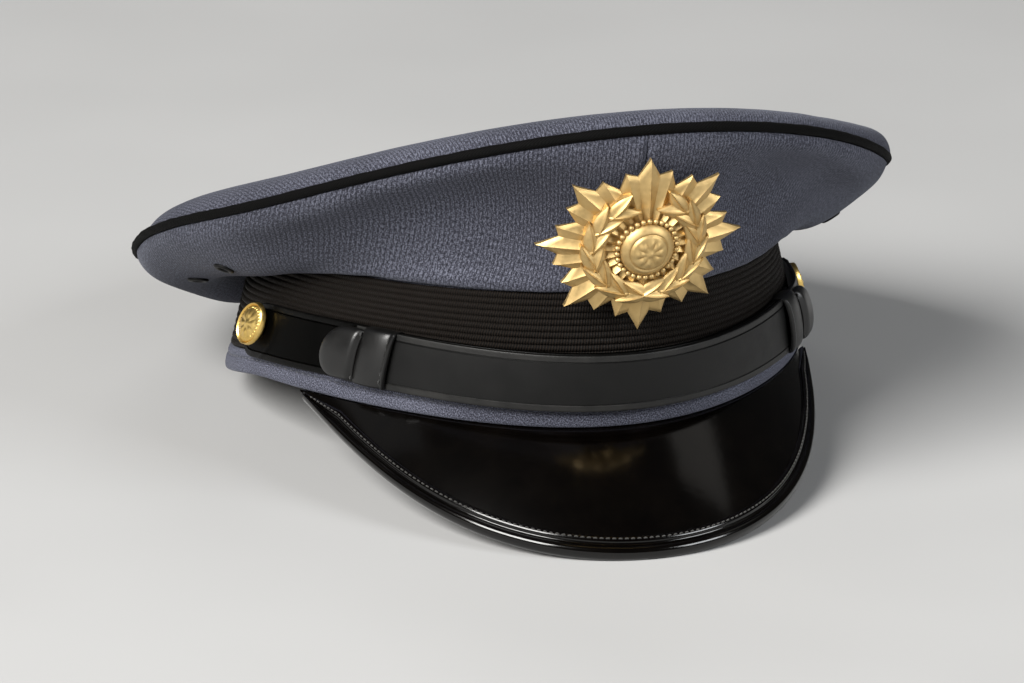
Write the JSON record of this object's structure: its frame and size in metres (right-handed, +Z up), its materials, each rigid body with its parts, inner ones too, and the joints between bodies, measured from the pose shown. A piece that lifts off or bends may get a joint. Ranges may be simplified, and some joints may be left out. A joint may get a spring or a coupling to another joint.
{
  "type": "peaked cap",
  "caption": "Peaked service cap with a soft cloth crown, braided band, glossy sloping peak, fastened leather chin strap, side buttons and a rayed front badge.",
  "frame": {"origin": "middle of the cap's outline on the surface that it rests on", "axes": "+Z up from the resting surface, -Y to the front, +X to the wearer's left"},
  "size_m": [0.2394, 0.2721, 0.1318],
  "materials": {
    "cloth": "heathered blue-grey wool cloth with a fine upright twill",
    "piping": "black covered cord",
    "braid": "black ribbed braid",
    "patent_leather": "glossy black patent leather",
    "strap_leather": "satin black leather with creased edges",
    "gilt": "satin gilt metal",
    "eyelet_metal": "black japanned metal"
  },
  "bodies": {
    "root": {"crown_top": "cloth", "crown_side_right": "cloth", "crown_side_left": "cloth", "crown_piping": "piping", "band_cloth": "cloth", "band_braid": "braid", "peak": "patent_leather", "peak_binding": "patent_leather", "strap_front": "strap_leather", "strap_under": "strap_leather", "keeper_right": "strap_leather", "keeper_left": "strap_leather", "button_right": "gilt", "button_left": "gilt", "badge": "gilt", "eyelet_right_front": "eyelet_metal", "eyelet_right_back": "eyelet_metal", "eyelet_left_front": "eyelet_metal", "eyelet_left_back": "eyelet_metal"}
  },
  "joints": []
}
